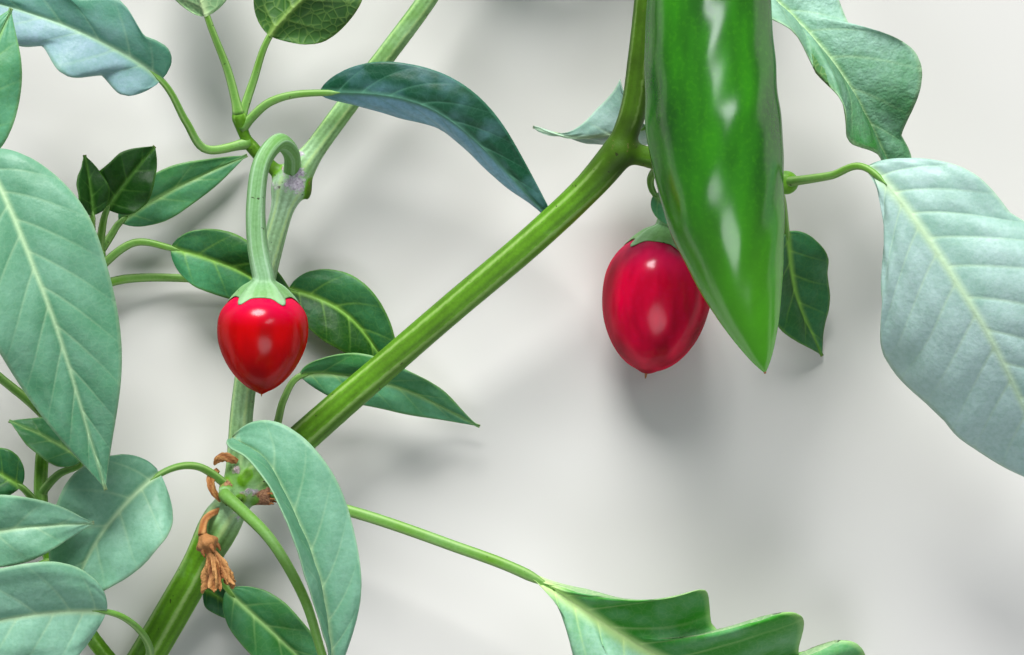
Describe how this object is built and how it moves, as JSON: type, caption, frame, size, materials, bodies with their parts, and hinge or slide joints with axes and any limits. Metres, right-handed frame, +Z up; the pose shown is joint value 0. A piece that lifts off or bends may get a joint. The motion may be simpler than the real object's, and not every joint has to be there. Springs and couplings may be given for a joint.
{
  "type": "chilli pepper branch",
  "caption": "Cut fruiting branch of a chilli pepper plant, lying down, with ridged green stems, pointed leaves, red and green pods on hooked stalks and a dried flower.",
  "frame": {"origin": "middle of the branch's footprint, on the surface that it lies on", "axes": "+Z up, away from the surface; +Y along the picture's upward direction; +X to its right"},
  "size_m": [0.2712, 0.2437, 0.0805],
  "materials": {
    "stem": "satin",
    "stalk": "satin",
    "leaf": "satin",
    "red_pod": "gloss",
    "green_pod": "gloss",
    "dry_petals": "matte"
  },
  "bodies": {
    "root": {"main_stem": "stem", "upper_stem": "stem", "right_limb": "stem", "side_stem": "stem", "upper_limb": "stem", "leaf_shoot": "stem", "left_shoot": "stem", "leaf_low_left": "leaf", "leaf_centre_front": "leaf", "leaf_top_left": "leaf", "leaf_top_pale": "leaf", "leaf_top_dark": "leaf", "leaf_arched": "leaf", "leaf_small_upper": "leaf", "leaf_small_narrow": "leaf", "leaf_back_narrow": "leaf", "leaf_behind_fruit": "leaf", "leaf_behind_stem": "leaf", "leaf_big_left": "leaf", "leaf_far_left": "leaf", "leaf_under_stem": "leaf", "leaf_low_right": "leaf", "leaf_top_right": "leaf", "leaf_big_right": "leaf", "leaf_curled": "leaf", "leaf_under_fork": "leaf", "leaf_hanging": "leaf", "leaf_dark_low": "leaf", "leaf_left_small": "leaf", "leaf_left_dark": "leaf", "leaf_bottom_left": "leaf", "leaf_left_low": "leaf", "leaf_bottom_back": "leaf", "leafy_tip_upper": "leaf", "leafy_tip_top": "leaf", "red_fruit_front": "red_pod", "stalk_front": "stalk", "red_fruit_right": "red_pod", "stalk_right": "stalk", "green_fruit": "green_pod", "stalk_green": "stalk", "dried_flower": "dry_petals"}
  },
  "joints": []
}
